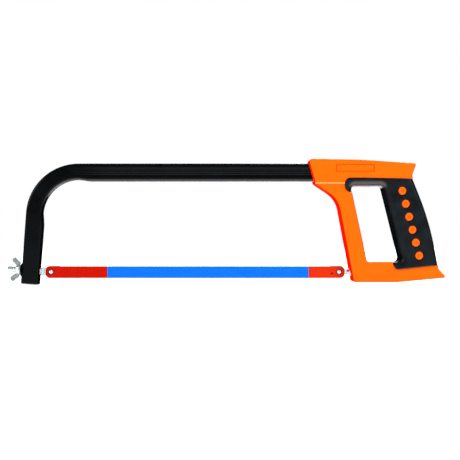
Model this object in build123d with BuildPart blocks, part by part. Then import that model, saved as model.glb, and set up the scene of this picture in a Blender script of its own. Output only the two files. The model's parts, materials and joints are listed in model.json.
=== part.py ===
from build123d import *
from math import cos, radians, sin, tan
import os

# Hacksaw with a bent rectangular-tube bow, a closed D handle and a 300 mm blade.
#
# Frame: +X runs along the blade towards the handle, +Z runs up from the blade to the
# top of the bow, and the thickness lies along Y, with the near side at -Y.
# The origin is the bottom centre of the whole saw, standing upright.
# All sizes are in millimetres.

os.makedirs("parts", exist_ok=True)

# ---- Driving sizes ---------------------------------------------------------------

# Blade
blade_hole_spacing = 300.0
blade_width = 12.7
blade_thickness = 0.65
blade_hole_radius = 2.1
blade_plain_end = 9.0  # untoothed length inside each hole
blade_end = 5.7  # beyond each hole
blade_corner_radius = 4.6
tooth_pitch = 1.4
tooth_depth = 0.6

# Blade pins
pin_radius = 1.55
pin_seat_gap = 0.05  # between the pin and the end of the blade hole it pulls on
pin_stand_out = 1.5  # beyond the front of the blade
blade_back_gap = 0.08  # between the blade and the tongues behind it

# Bow
throat_height = 103.35  # from the blade line to the tube's centre line
tube_height = 18.6
tube_thickness = 12.5
tube_wall = 1.2
tube_corner_radius = 3.0
bend_radius = 45.5
limb_tilt = 4.2  # degrees by which the front limb leans out at the bottom
limb_gap = 10.6  # from the front pin to the limb's inner face
limb_below_stud = 14.0  # from the stud's axis to the limb's lower end

# Limb fittings
plug_flange = 1.2
plug_depth = 6.0
plug_wall = 1.5
guide_height = 9.6
saddle_radius = 7.2
saddle_thickness = 1.6
washer_radius = 5.6
washer_thickness = 0.8

# Tension stud and wing nut
tongue_height = 8.5
tongue_thickness = 2.4
tongue_length = 6.6  # from the pin to the block
block_length = 2.7
shank_flat = 0.1  # depth of the square shank's flats below the thread
shank_gap = 0.15
thread_radius = 3.0
thread_gap = 0.1
thread_end = 12.7  # of thread standing out beyond the thrust washer
nut_base_radius = 5.5
nut_base_height = 1.8
nut_neck_radius = 4.6
nut_height = 4.2
wing_length = 11.0
wing_width = 5.8
wing_thickness = 1.8
wing_lean = 44.0  # degrees between a wing and the stud's axis
wing_turn = 12.0  # degrees about the stud's axis, as the nut was left

# Rear stud, its bush and its nut
anchor_radius = 2.9
anchor_tongue_length = 5.6
anchor_gap = 0.05
bush_flange_radius = 4.2
bush_flange = 1.8
bush_radius = 3.8
bush_depth = 10.0
anchor_nut_flats = 10.0
anchor_nut_height = 5.0
anchor_washer_radius = 6.0
anchor_washer_thickness = 1.6
anchor_stud_end = 2.0  # beyond the nut

# Handle
handle_half = 13.0  # half thickness of the column and the lower bar
socket_step = 0.9  # by which the socket block stands proud of the column
handle_wall = 3.2
handle_edge_radius = 1.5
socket_inset = 1.5  # from the handle's outline to the raised socket block
socket_roof_wall = 4.3  # above the tube
socket_floor_wall = 2.7  # below the tube
column_foot = 12.8  # from the rear pin to the foot of the column's front
column_lean = 10.7  # degrees
handle_foot = 10.1  # from the blade line to the handle's lower edge
horn_reach = 109.2  # from the rear pin to the tip of the lower horn
tube_in_handle = 82.0  # length of tube held by the handle
rib_thickness = 2.0
rib_pitch = 14.0
panel_length = 38.7
panel_height = 7.1
panel_depth = 0.5

# Hand window
window_lower = 10.6  # from the blade line to the window's lower edge
window_below_tube = 5.35  # from the tube's underside to the window's upper edge
window_front_foot = 27.0
window_front_lean = 12.2
window_rear_foot = 62.6
window_rear_lean = 14.0

# Grip
grip_half = 15.0
grip_skin = 3.0
grip_face_skin = 3.4
grip_palm_radius = 6.0
grip_beside_tube = 3.3  # height by which the grip overlaps the tube's side
dot_count = 6
dot_radius = 3.95
dot_stand_out = 0.1

# Screws
screw_radius = 1.9
screw_gap = 0.1
screw_head_radius = 3.4
screw_head_height = 2.4
screw_boss_radius = 4.2
screw_tip_cover = 3.6  # handle left over the tip of a screw
screw_head_depth = 3.6  # of the head's seat below the far face

# ---- Places worked out from them ---------------------------------------------------

pin_offset = blade_hole_radius - pin_radius - pin_seat_gap
shank_size = 2 * (thread_radius - shank_flat)
limb_reach = limb_gap + tube_height / 2  # from the front pin to the limb's centre line
stud_length = (
    limb_reach + tube_height / 2 + saddle_thickness + washer_thickness + thread_end
)
tilt_cos = cos(radians(limb_tilt))
tilt_sin = sin(radians(limb_tilt))

blade_z = limb_below_stud * tilt_cos + (tube_height / 2 - limb_reach) * tilt_sin
tube_z = blade_z + throat_height
blade_mid_x = (stud_length * tilt_cos - horn_reach) / 2
front_pin_x = blade_mid_x - blade_hole_spacing / 2 - pin_offset
rear_pin_x = blade_mid_x + blade_hole_spacing / 2 + pin_offset
tongue_y = blade_thickness / 2 + blade_back_gap
pin_front_y = -(blade_thickness / 2 + pin_stand_out)

# Along the tension stud, local x runs outwards from the pin and local y up the limb.
stud_side = Plane(
    origin=(front_pin_x, 0, blade_z), x_dir=(-tilt_cos, 0, tilt_sin), z_dir=(0, 1, 0)
)
stud_axis = Axis(stud_side.origin, stud_side.x_dir)
limb_axis = Axis(stud_side.origin, stud_side.y_dir)
limb_inner = limb_gap
limb_outer = limb_reach + tube_height / 2
saddle_top = limb_outer + saddle_thickness
washer_top = saddle_top + washer_thickness


def across_stud(distance):
    """Plane square to the tension stud, at a distance outwards from its pin."""
    return Plane(
        origin=stud_side.from_local_coords((distance, 0, 0)),
        x_dir=(0, 1, 0),
        z_dir=stud_side.x_dir,
    )


def across_anchor(distance):
    """Plane square to the rear stud, at a distance from its pin into the handle."""
    return Plane(origin=(rear_pin_x + distance, 0, blade_z), x_dir=(0, 1, 0), z_dir=(1, 0, 0))


def low(x, z):
    """Point of the side view given from the rear pin and the blade line."""
    return (rear_pin_x + x, blade_z + z)


def high(x, z):
    """Point of the side view given from the rear pin and the tube's centre line."""
    return (rear_pin_x + x, tube_z + z)


def between(start, end, share):
    """Point at a share of the way from one point to another."""
    return tuple(a + (b - a) * share for a, b in zip(start, end))


def outline(corners):
    """Closed outline through corners, each given as its point and its radius."""
    return FilletPolyline(
        *[point for point, _ in corners], radius=[r for _, r in corners], close=True
    )


# ---- Outlines of the handle, drawn in the side view ---------------------------------

socket_roof = tube_height / 2 + socket_roof_wall
socket_floor = tube_height / 2 + socket_floor_wall
window_upper = tube_height / 2 + window_below_tube
grip_upper = tube_height / 2 - grip_beside_tube

column_slope = tan(radians(column_lean))
front_slope = tan(radians(window_front_lean))
rear_slope = tan(radians(window_rear_lean))
window_top = throat_height - window_upper  # above the blade line
window_rise = window_top - window_lower
gusset_drop = 27.8  # from the tube's centre line to where column and gusset would meet
gusset_x = column_foot - column_slope * (throat_height - gusset_drop + handle_foot)

window_corners = [
    (low(window_front_foot, window_lower), 4.0),
    (low(window_rear_foot, window_lower), 4.5),
    (low(window_rear_foot - rear_slope * window_rise, window_top), 3.5),
    (low(window_front_foot - front_slope * window_rise, window_top), 3.5),
]
window_front_top = window_front_foot - front_slope * window_rise
window_rear_top = window_rear_foot - rear_slope * window_rise

# The palm edge bows out between a foot above the lower horn and a head below the upper.
palm_foot = low(window_rear_foot + 38.0, 3.6)
palm_head = high(window_rear_top + 29.7, -4.0)
palm_middle = between(palm_foot, palm_head, 0.5)
palm_apex = (palm_middle[0] + 4.7, palm_middle[1] + 1.2)

handle_corners = [
    (high(-33.9, socket_roof), 3.5),
    (high(-26.8, -socket_floor), 3.0),
    (high(gusset_x, -gusset_drop), 27.0),
    (low(column_foot, -handle_foot), 3.0),
    (low(58.0, -handle_foot), 60.0),
    (low(horn_reach, -5.4), 1.7),
    (palm_foot, 3.5),
    (palm_apex, 290.0),
    (palm_head, 7.0),
    (high(window_rear_top + 34.4, 8.8), 1.7),
    (high(20.0, socket_roof - 0.8), 0),
]


def extended(start, end, length):
    """Point beyond end, on the line from start, by a length."""
    run = ((end[0] - start[0]) ** 2 + (end[1] - start[1]) ** 2) ** 0.5
    return between(start, end, 1 + length / run)


palm_below = extended(palm_apex, palm_foot, 24.0)
palm_above = extended(palm_apex, palm_head, 28.0)
blank_front = window_front_top - 22.0
blank_corners = [
    (high(blank_front, palm_above[1] - tube_z), 0),
    ((rear_pin_x + blank_front, palm_below[1]), 0),
    (palm_below, 0),
    (palm_apex, 290.0),
    (palm_above, 0),
]

grip_corners = [
    (high(window_front_top - 6.2, -grip_upper), 5.2),
    (high(window_front_top - 5.6, -18.4), 4.5),
    (high(window_front_top + 6.0, -23.5), 0),
    (low(window_rear_foot - 12.1, window_lower + 3.4), 0),
    (low(window_rear_foot - 5.8, 2.9), 3.0),
    (low(window_rear_foot + 62.0, 10.2), 0),
    (high(window_rear_top + 60.0, -grip_upper - 1.7), 0),
    (high(29.0, -grip_upper), 100.0),
]

with BuildSketch(Plane.XZ) as window_hole:
    with BuildLine():
        outline(window_corners)
    make_face()

with BuildSketch(Plane.XZ) as handle_side:
    with BuildLine():
        outline(handle_corners)
    make_face()
    add(window_hole.sketch, mode=Mode.SUBTRACT)

# Smooth bar under the palm, without the horns, that the soft grip is cut from
with BuildSketch(Plane.XZ) as grip_blank:
    with BuildLine():
        outline(blank_corners)
    make_face()
    add(window_hole.sketch, mode=Mode.SUBTRACT)

with BuildSketch(Plane.XZ) as grip_region:
    with BuildLine():
        outline(grip_corners)
    make_face()

with BuildSketch(Plane.XZ) as grip_core:
    add(grip_blank.sketch)
    offset(amount=-grip_skin)
    add(grip_region.sketch, mode=Mode.INTERSECT)

with BuildSketch(Plane.XZ) as hard_side:
    add(handle_side.sketch)
    add(grip_region.sketch, mode=Mode.SUBTRACT)

with BuildSketch(Plane.XZ) as handle_hollow:
    add(hard_side.sketch)
    add(grip_core.sketch)
    offset(amount=-handle_wall)

# ---- Places on the handle -------------------------------------------------------------

dot_top = high(window_rear_top + 19.5, -19.5)
dot_foot = low(window_rear_foot + 17.3, 17.4)
dot_points = [between(dot_top, dot_foot, i / (dot_count - 1)) for i in range(dot_count)]


def column_middle(rise):
    """Point midway across the column, at a height above the blade line."""
    front = column_foot - column_slope * (rise + handle_foot)
    rear = window_front_foot - front_slope * (rise - window_lower)
    return low((front + rear) / 2, rise)


tube_inner_end = rear_pin_x - 27.0 + tube_in_handle
tube_screw_points = [high(-18.0, 0), (tube_inner_end - 16.0, tube_z)]
shell_screw_points = [
    (tube_inner_end + 11.0, tube_z + 0.5),
    column_middle(48.0),
    low(52.0, 0.2),
    low(88.0, -0.6),
]

# ---- Blade ------------------------------------------------------------------------------

toothed_length = blade_hole_spacing - 2 * blade_plain_end
tooth_count = int(toothed_length / tooth_pitch)
tooth_start = blade_mid_x - tooth_count * tooth_pitch / 2
tooth_tip_z = blade_z + blade_width / 2
tooth_root_z = tooth_tip_z - tooth_depth

tooth_points = []
for tooth in range(tooth_count):
    tooth_x = tooth_start + tooth * tooth_pitch
    tooth_points.append((tooth_x, tooth_tip_z))
    tooth_points.append((tooth_x + 0.25 * tooth_pitch, tooth_root_z))
    tooth_points.append((tooth_x + 0.45 * tooth_pitch, tooth_root_z))
tooth_points.append((tooth_start + tooth_count * tooth_pitch, tooth_tip_z))

blade_front = blade_mid_x - blade_hole_spacing / 2
blade_rear = blade_mid_x + blade_hole_spacing / 2

blade_back_z = blade_z - blade_width / 2

with BuildPart() as blade:
    with BuildSketch(Plane.XZ) as blade_side:
        with BuildLine():
            Polyline(
                (blade_front - blade_end, blade_back_z),
                (blade_front - blade_end, tooth_tip_z),
                *tooth_points,
                (blade_rear + blade_end, tooth_tip_z),
                (blade_rear + blade_end, blade_back_z),
                close=True,
            )
        make_face()
        end_corners = blade_side.vertices().sort_by(Axis.X)
        fillet(end_corners[:2] + end_corners[-2:], blade_corner_radius)
        with Locations((blade_front, blade_z), (blade_rear, blade_z)):
            Circle(blade_hole_radius, mode=Mode.SUBTRACT)
    extrude(amount=blade_thickness / 2, both=True)
blade.part.label = "blade"

# ---- Bow -----------------------------------------------------------------------------------


def along_limb(below):
    """Point on the limb's centre line, given as the length below the stud's axis."""
    return stud_side.from_local_coords((limb_reach, -below, 0))


tube_lower_end = limb_below_stud - plug_flange
limb_rise = (tube_z - along_limb(0).Z) / tilt_cos
bow_corner = along_limb(-limb_rise)
limb_foot = along_limb(tube_lower_end)
limb_up = Plane(origin=limb_foot, x_dir=(0, 1, 0), z_dir=stud_side.y_dir)

with BuildPart() as frame_tube:
    with BuildLine(Plane.XZ):
        FilletPolyline(
            (limb_foot.X, limb_foot.Z),
            (bow_corner.X, bow_corner.Z),
            (tube_inner_end, tube_z),
            radius=bend_radius,
        )
    with BuildSketch(limb_up):
        RectangleRounded(tube_thickness, tube_height, tube_corner_radius)
        RectangleRounded(
            tube_thickness - 2 * tube_wall,
            tube_height - 2 * tube_wall,
            tube_corner_radius - tube_wall,
            mode=Mode.SUBTRACT,
        )
    sweep()
    # Square way through both walls for the tension stud
    with BuildSketch(across_stud(limb_inner - 1)):
        Rectangle(shank_size + 2 * shank_gap, shank_size + 2 * shank_gap)
    extrude(amount=tube_height + 2, mode=Mode.SUBTRACT)
    # Cross holes for the screws that hold the tube in the handle
    with BuildSketch(Plane.XZ):
        with Locations(*tube_screw_points):
            Circle(screw_radius + screw_gap)
    extrude(amount=tube_thickness, both=True, mode=Mode.SUBTRACT)
frame_tube.part.label = "frame_tube"

with BuildPart() as limb_end_plug:
    with BuildSketch(limb_up):
        RectangleRounded(tube_thickness, tube_height, tube_corner_radius)
    extrude(amount=-plug_flange)
    with BuildSketch(limb_up):
        RectangleRounded(
            tube_thickness - 2 * tube_wall,
            tube_height - 2 * tube_wall,
            tube_corner_radius - tube_wall,
        )
        RectangleRounded(
            tube_thickness - 2 * (tube_wall + plug_wall),
            tube_height - 2 * (tube_wall + plug_wall),
            0.2,
            mode=Mode.SUBTRACT,
        )
    extrude(amount=plug_depth)
    chamfer(limb_end_plug.faces().sort_by(limb_axis)[0].edges(), 0.5)
limb_end_plug.part.label = "limb_end_plug"

with BuildPart() as stud_guide_block:
    guide_foot = tube_lower_end - guide_height / 2
    with BuildSketch(limb_up.offset(guide_foot)):
        RectangleRounded(
            tube_thickness - 2 * tube_wall,
            tube_height - 2 * tube_wall,
            tube_corner_radius - tube_wall,
        )
    extrude(amount=guide_height)
    with BuildSketch(across_stud(limb_inner)):
        Rectangle(shank_size + 2 * shank_gap, shank_size + 2 * shank_gap)
    extrude(amount=tube_height, mode=Mode.SUBTRACT)
stud_guide_block.part.label = "stud_guide_block"

with BuildPart() as saddle_washer:
    with BuildSketch(across_stud(limb_outer)):
        Circle(saddle_radius)
    extrude(amount=saddle_thickness)
    fillet(saddle_washer.edges().filter_by(GeomType.CIRCLE).sort_by(stud_axis)[-1], 1.5)
    with BuildSketch(across_stud(limb_outer)):
        Circle(thread_radius + 2 * shank_gap)
    extrude(amount=saddle_thickness, mode=Mode.SUBTRACT)
saddle_washer.part.label = "saddle_washer"

with BuildPart() as thrust_washer:
    with BuildSketch(across_stud(saddle_top)):
        Circle(washer_radius)
        Circle(thread_radius + 2 * shank_gap, mode=Mode.SUBTRACT)
    extrude(amount=washer_thickness)
    chamfer(thrust_washer.edges().filter_by(GeomType.CIRCLE).sort_by(SortBy.RADIUS)[-2:], 0.2)
thrust_washer.part.label = "thrust_washer"

# ---- Tension stud, its pin and the wing nut --------------------------------------------------

shank_start = tongue_length + block_length
thread_start = limb_outer - tube_wall

with BuildPart() as tension_stud:
    # Tongue behind the blade, round about the pin
    with BuildSketch(stud_side.offset(tongue_y)):
        Circle(tongue_height / 2)
        Rectangle(tongue_length, tongue_height, align=(Align.MIN, Align.CENTER))
        Circle(pin_radius, mode=Mode.SUBTRACT)
    extrude(amount=tongue_thickness)
    with BuildSketch(across_stud(tongue_length)):
        Rectangle(2 * (tongue_y + tongue_thickness), tongue_height)
    extrude(amount=block_length)
    chamfer(tension_stud.faces().sort_by(stud_axis)[-1].edges(), 0.5)
    with BuildSketch(across_stud(shank_start)):
        Rectangle(shank_size, shank_size)
    extrude(amount=thread_start - shank_start)
    with BuildSketch(across_stud(thread_start)):
        Circle(thread_radius)
    extrude(amount=stud_length - thread_start)
    chamfer(tension_stud.edges().filter_by(GeomType.CIRCLE).sort_by(stud_axis)[-1], 0.7)
tension_stud.part.label = "tension_stud"


def blade_pin(axis_plane):
    """Pin through a tongue and the blade, with a domed front end."""
    with BuildPart() as pin:
        with BuildSketch(axis_plane.offset(pin_front_y)):
            Circle(pin_radius)
        extrude(amount=tongue_y + tongue_thickness - pin_front_y)
        fillet(pin.edges().filter_by(GeomType.CIRCLE).sort_by(Axis.Y)[0], 0.6)
    return pin.part


front_blade_pin = blade_pin(stud_side)
front_blade_pin.label = "front_blade_pin"

wing_root = nut_base_radius - 1.0
wing_middle = (
    washer_top + wing_length / 2 * cos(radians(wing_lean)) + 0.5,
    wing_root + wing_length / 2 * sin(radians(wing_lean)) - 0.5,
)
wing_side = stud_side.rotated((wing_turn, 0, 0))

with BuildPart() as wing_nut:
    with BuildSketch(across_stud(washer_top)):
        Circle(nut_base_radius)
    extrude(amount=nut_base_height)
    with BuildSketch(across_stud(washer_top + nut_base_height)):
        Circle(nut_neck_radius)
    extrude(amount=nut_height - nut_base_height)
    with BuildSketch(wing_side):
        for side in (1, -1):
            with Locations(Location((wing_middle[0], side * wing_middle[1]), side * wing_lean)):
                RectangleRounded(wing_length, wing_width, 1.4)
    extrude(amount=wing_thickness / 2, both=True)
    with BuildSketch(across_stud(washer_top - 1)):
        Circle(nut_base_radius + wing_length)
    extrude(amount=1, mode=Mode.SUBTRACT)
    with BuildSketch(across_stud(washer_top)):
        Circle(thread_radius + thread_gap)
    extrude(amount=2 * wing_length, mode=Mode.SUBTRACT)
    chamfer(wing_nut.edges().filter_by(GeomType.CIRCLE).sort_by(SortBy.RADIUS)[-1], 0.3)
wing_nut.part.label = "wing_nut"

# ---- Rear stud and its fittings ------------------------------------------------------------------

# The bush stands out from the slanting front of the column.
bush_seat = column_foot - column_slope * handle_foot + 0.4
pocket_x = bush_seat + bush_depth + 3.0
anchor_nut_x = pocket_x + anchor_washer_thickness
anchor_end = anchor_nut_x + anchor_nut_height + anchor_stud_end
anchor_side = Plane(origin=(rear_pin_x, 0, blade_z), x_dir=(1, 0, 0), z_dir=(0, 1, 0))

with BuildPart() as rear_stud:
    with BuildSketch(anchor_side.offset(tongue_y)):
        Circle(anchor_radius)
        Rectangle(anchor_tongue_length, 2 * anchor_radius, align=(Align.MIN, Align.CENTER))
        Circle(pin_radius, mode=Mode.SUBTRACT)
    extrude(amount=tongue_thickness)
    with BuildSketch(across_anchor(anchor_tongue_length)):
        Circle(anchor_radius)
    extrude(amount=anchor_end - anchor_tongue_length)
    # The shank starts clear of the blade's round end.
    with BuildSketch(across_anchor(anchor_tongue_length)):
        with Locations((tongue_y - anchor_radius, 0)):
            Rectangle(2 * anchor_radius, 2 * anchor_radius)
    extrude(amount=1.4, mode=Mode.SUBTRACT)
    chamfer(rear_stud.faces().sort_by(Axis.X)[-1].edges(), 0.5)
rear_stud.part.label = "rear_stud"

rear_blade_pin = blade_pin(anchor_side)
rear_blade_pin.label = "rear_blade_pin"

with BuildPart() as anchor_bush:
    with BuildSketch(across_anchor(bush_seat)):
        Circle(bush_flange_radius)
    extrude(amount=-bush_flange)
    chamfer(anchor_bush.faces().sort_by(Axis.X)[0].edges(), 0.4)
    with BuildSketch(across_anchor(bush_seat)):
        Circle(bush_radius)
    extrude(amount=bush_depth)
    with BuildSketch(across_anchor(bush_seat - bush_flange)):
        Circle(anchor_radius + anchor_gap)
    extrude(amount=bush_depth + bush_flange, mode=Mode.SUBTRACT)
anchor_bush.part.label = "anchor_bush"

with BuildPart() as anchor_washer:
    with BuildSketch(across_anchor(pocket_x)):
        Circle(anchor_washer_radius)
        Circle(anchor_radius + anchor_gap, mode=Mode.SUBTRACT)
    extrude(amount=anchor_washer_thickness)
anchor_washer.part.label = "anchor_washer"

with BuildPart() as anchor_nut:
    with BuildSketch(across_anchor(anchor_nut_x)):
        RegularPolygon(anchor_nut_flats / 2, 6, major_radius=False)
        Circle(anchor_radius + anchor_gap, mode=Mode.SUBTRACT)
    extrude(amount=anchor_nut_height)
anchor_nut.part.label = "anchor_nut"

# ---- Handle shells -----------------------------------------------------------------------------------

socket_bottom = high(0, -socket_floor)[1]
hollow_depth = grip_half - grip_face_skin - handle_wall
core_half = grip_half - grip_face_skin
screw_points = tube_screw_points + shell_screw_points
anchor_block_end = anchor_end + 4.0

# Socket block: the upper part of the handle's front, a little thicker than the column
with BuildSketch(Plane.XZ) as socket_side:
    add(hard_side.sketch)
    offset(amount=-socket_inset)
    with Locations((rear_pin_x, socket_bottom)):
        Rectangle(400, 100, align=(Align.CENTER, Align.MIN), mode=Mode.INTERSECT)

# Ribs stand across the column and under and over the tube, with posts about the screws.
rib_places = []
for i in range(int(tube_in_handle / rib_pitch)):
    rib_places.append((tube_inner_end - 6.0 - i * rib_pitch, tube_z, rib_thickness, 40.0))
for i in range(1, int((window_rise - 16.0) / rib_pitch)):
    rib_places.append((rear_pin_x + 10.0, blade_z + 14.0 + i * rib_pitch, 50.0, rib_thickness))

with BuildSketch(Plane.XZ) as handle_ribs:
    for rib_x, rib_z, rib_length, rib_height in rib_places:
        with Locations((rib_x, rib_z)):
            Rectangle(rib_length, rib_height)
    with Locations(*screw_points):
        Circle(screw_boss_radius)
    with Locations(low(anchor_block_end, 0)):
        Rectangle(80, 2 * handle_foot, align=(Align.MAX, Align.CENTER))
    add(handle_hollow.sketch, mode=Mode.INTERSECT)


def outer_face(solid, side):
    """Outermost flat face of a half of the handle."""
    return solid.faces().sort_by(Axis.Y)[0 if side > 0 else -1]


def handle_shell(side):
    """Half of the handle: side is 1 for the near half, towards -Y, and -1 for the far."""
    with BuildPart() as shell:
        extrude(handle_side.sketch, amount=side * handle_half)
        fillet(outer_face(shell, side).edges(), handle_edge_radius)
        # Bare hard plastic outside the grip's region, a thinner bar under it
        extrude(grip_region.sketch, amount=side * grip_half, mode=Mode.SUBTRACT)
        extrude(grip_core.sketch, amount=side * core_half)
        # Block about the tube's socket
        extrude(socket_side.sketch, amount=side * (handle_half + socket_step))
        # Dots that show through the grip
        with BuildSketch(Plane.XZ):
            with Locations(*dot_points):
                Circle(dot_radius)
        extrude(amount=side * (grip_half + dot_stand_out))
        # Blank panel
        with BuildSketch(Plane.XZ.offset(side * (handle_half + socket_step))):
            with Locations(high(-4.8 + panel_length / 2, 4.0)):
                Rectangle(panel_length, panel_height)
        extrude(amount=-side * panel_depth, mode=Mode.SUBTRACT)
        # Hollow inside, with its ribs and posts
        extrude(handle_hollow.sketch, amount=side * hollow_depth, mode=Mode.SUBTRACT)
        extrude(handle_ribs.sketch, amount=side * hollow_depth)
        # Way for the tube
        with BuildSketch(Plane.YZ.offset(tube_inner_end)):
            with Locations((0, tube_z)):
                RectangleRounded(tube_thickness, tube_height, tube_corner_radius)
        extrude(amount=-2 * tube_in_handle, mode=Mode.SUBTRACT)
        # Seat of the bush, its bore, the stud's bore and the nut's pocket
        with BuildSketch(across_anchor(bush_seat)):
            Circle(bush_flange_radius + 0.3)
        extrude(amount=-4 * bush_flange, mode=Mode.SUBTRACT)
        with BuildSketch(across_anchor(bush_seat)):
            Circle(bush_radius)
        extrude(amount=bush_depth, mode=Mode.SUBTRACT)
        with BuildSketch(across_anchor(bush_seat)):
            Circle(anchor_radius + anchor_gap)
        extrude(amount=anchor_end + 1.0 - bush_seat, mode=Mode.SUBTRACT)
        with BuildSketch(across_anchor(pocket_x)):
            Rectangle(2 * anchor_washer_radius, 2 * anchor_washer_radius)
        extrude(amount=anchor_nut_x + anchor_nut_height - pocket_x, mode=Mode.SUBTRACT)
    return shell


with BuildPart() as handle_shell_near:
    add(handle_shell(1).part)
    # Blind pilots for the screws
    with BuildSketch(Plane.XZ):
        with Locations(*screw_points):
            Circle(screw_radius)
    extrude(amount=handle_half - screw_tip_cover, mode=Mode.SUBTRACT)
handle_shell_near.part.label = "handle_shell_near"

with BuildPart() as handle_shell_far:
    add(handle_shell(-1).part)
    with BuildSketch(Plane.XZ):
        with Locations(*screw_points):
            Circle(screw_radius + screw_gap)
    extrude(amount=-(handle_half + 2), mode=Mode.SUBTRACT)
    # Sunk seats for the screw heads
    with BuildSketch(Plane.XZ.offset(screw_head_depth - handle_half)):
        with Locations(*screw_points):
            Circle(screw_head_radius + screw_gap)
    extrude(amount=-2 * screw_head_depth, mode=Mode.SUBTRACT)
handle_shell_far.part.label = "handle_shell_far"

# ---- Grip halves ------------------------------------------------------------------------------------------


def grip_half_shell(side):
    """Half of the soft grip, wrapped over the bar and holed for the dots."""
    with BuildPart() as half:
        extrude(grip_blank.sketch, amount=side * grip_half)
        face = outer_face(half, side)
        palm_edges = face.edges().filter_by(lambda e: e.center().X > palm_head[0] - 12.0)
        fillet(palm_edges + face.inner_wires()[0].edges(), grip_palm_radius)
        extrude(grip_region.sketch, amount=side * grip_half, mode=Mode.INTERSECT)
        extrude(grip_core.sketch, amount=side * core_half, mode=Mode.SUBTRACT)
        extrude(hard_side.sketch, amount=side * handle_half, mode=Mode.SUBTRACT)
        with BuildSketch(Plane.XZ):
            with Locations(*dot_points):
                Circle(dot_radius)
        extrude(amount=side * (grip_half + 1), mode=Mode.SUBTRACT)
    return half.part


grip_near = grip_half_shell(1)
grip_near.label = "grip_near"
grip_far = grip_half_shell(-1)
grip_far.label = "grip_far"

# ---- Screws --------------------------------------------------------------------------------------------------


def screws(points):
    """Pan-head screws in from the far side, their tips in the near shell."""
    seat_y = handle_half - screw_head_depth
    tip_y = -(handle_half - screw_tip_cover)
    with BuildPart() as group:
        with BuildSketch(Plane.XZ.offset(-tip_y)):
            with Locations(*points):
                Circle(screw_radius)
        extrude(amount=-(seat_y - tip_y))
        with BuildSketch(Plane.XZ.offset(-seat_y)):
            with Locations(*points):
                Circle(screw_head_radius)
        extrude(amount=-screw_head_height)
        head_edges = group.edges().filter_by(GeomType.CIRCLE).group_by(Axis.Y)[-1]
        fillet(head_edges, 0.8)
        # Cross recess
        with BuildSketch(Plane.XZ.offset(-seat_y - screw_head_height)):
            with Locations(*points):
                Rectangle(3.4, 0.8)
                Rectangle(0.8, 3.4)
        extrude(amount=1.4, mode=Mode.SUBTRACT)
    return group.part


tube_screws = screws(tube_screw_points)
tube_screws.label = "tube_screws"
handle_screws = screws(shell_screw_points)
handle_screws.label = "handle_screws"

# ---- Files ------------------------------------------------------------------------------------------------------

pieces = [
    blade.part,
    frame_tube.part,
    limb_end_plug.part,
    stud_guide_block.part,
    saddle_washer.part,
    thrust_washer.part,
    tension_stud.part,
    front_blade_pin,
    wing_nut.part,
    rear_stud.part,
    rear_blade_pin,
    anchor_bush.part,
    anchor_washer.part,
    anchor_nut.part,
    handle_shell_near.part,
    handle_shell_far.part,
    grip_near,
    grip_far,
    tube_screws,
    handle_screws,
]
for piece in pieces:
    export_step(piece, f"parts/{piece.label}.step")
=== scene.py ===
import json
from math import acos, cos, pi, radians, sin, tan

import bmesh
import bpy
import numpy as np
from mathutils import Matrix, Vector
from mathutils.geometry import delaunay_2d_cdt


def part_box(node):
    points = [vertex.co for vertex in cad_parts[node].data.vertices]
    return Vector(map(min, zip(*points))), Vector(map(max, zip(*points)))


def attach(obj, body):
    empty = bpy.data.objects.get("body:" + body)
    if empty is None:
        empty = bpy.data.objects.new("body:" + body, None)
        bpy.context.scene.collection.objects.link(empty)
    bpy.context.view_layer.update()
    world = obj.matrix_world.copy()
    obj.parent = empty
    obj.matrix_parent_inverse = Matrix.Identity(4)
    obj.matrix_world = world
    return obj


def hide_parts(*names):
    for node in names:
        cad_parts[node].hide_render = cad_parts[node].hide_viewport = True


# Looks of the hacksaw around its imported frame. Lengths are in millimetres until a mesh is made.

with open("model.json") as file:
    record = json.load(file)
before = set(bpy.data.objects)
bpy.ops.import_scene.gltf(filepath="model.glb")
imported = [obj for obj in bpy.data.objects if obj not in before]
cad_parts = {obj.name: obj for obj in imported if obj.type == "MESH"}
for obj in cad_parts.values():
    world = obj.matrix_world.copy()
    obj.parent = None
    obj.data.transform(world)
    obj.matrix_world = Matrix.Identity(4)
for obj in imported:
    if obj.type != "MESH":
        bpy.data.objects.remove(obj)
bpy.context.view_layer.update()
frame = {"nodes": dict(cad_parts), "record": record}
MM = 0.001


# ---- Places taken from the frame ----------------------------------------------------------------

def box_mm(node):
    """Lowest and highest corner of a CAD node, in millimetres."""
    return [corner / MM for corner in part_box(node)]


def centre_mm(node):
    """Middle of a CAD node's box, in millimetres."""
    low, high = box_mm(node)
    return (low + high) / 2


TUBE_HEIGHT = 18.6
TUBE_THICKNESS = 12.5
TUBE_CORNER = 3.0
rear_x, blade_z = centre_mm("rear_blade_pin").x, centre_mm("rear_blade_pin").z
front_x = centre_mm("front_blade_pin").x
tube_z = box_mm("frame_tube")[1].z - TUBE_HEIGHT / 2
tube_end_x = box_mm("frame_tube")[1].x
TILT = radians(4.2)

# Along the tension stud: outwards from the front pin, and up the front limb
stud_out = np.array([-cos(TILT), 0, sin(TILT)])
limb_up = np.array([sin(TILT), 0, cos(TILT)])
stud_origin = np.array([front_x, 0, blade_z])
axis_y = np.array([0.0, 1.0, 0.0])


def low(x, z):
    """Side-view point given from the rear pin and the blade line."""
    return (rear_x + x, blade_z + z)


def high(x, z):
    """Side-view point given from the rear pin and the tube's centre line."""
    return (rear_x + x, tube_z + z)


# ---- Outlines in the side view ------------------------------------------------------------------

def unit(vectors):
    """Vectors scaled to length 1, row by row."""
    vectors = np.asarray(vectors, float)
    return vectors / np.linalg.norm(vectors, axis=-1, keepdims=True)


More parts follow.
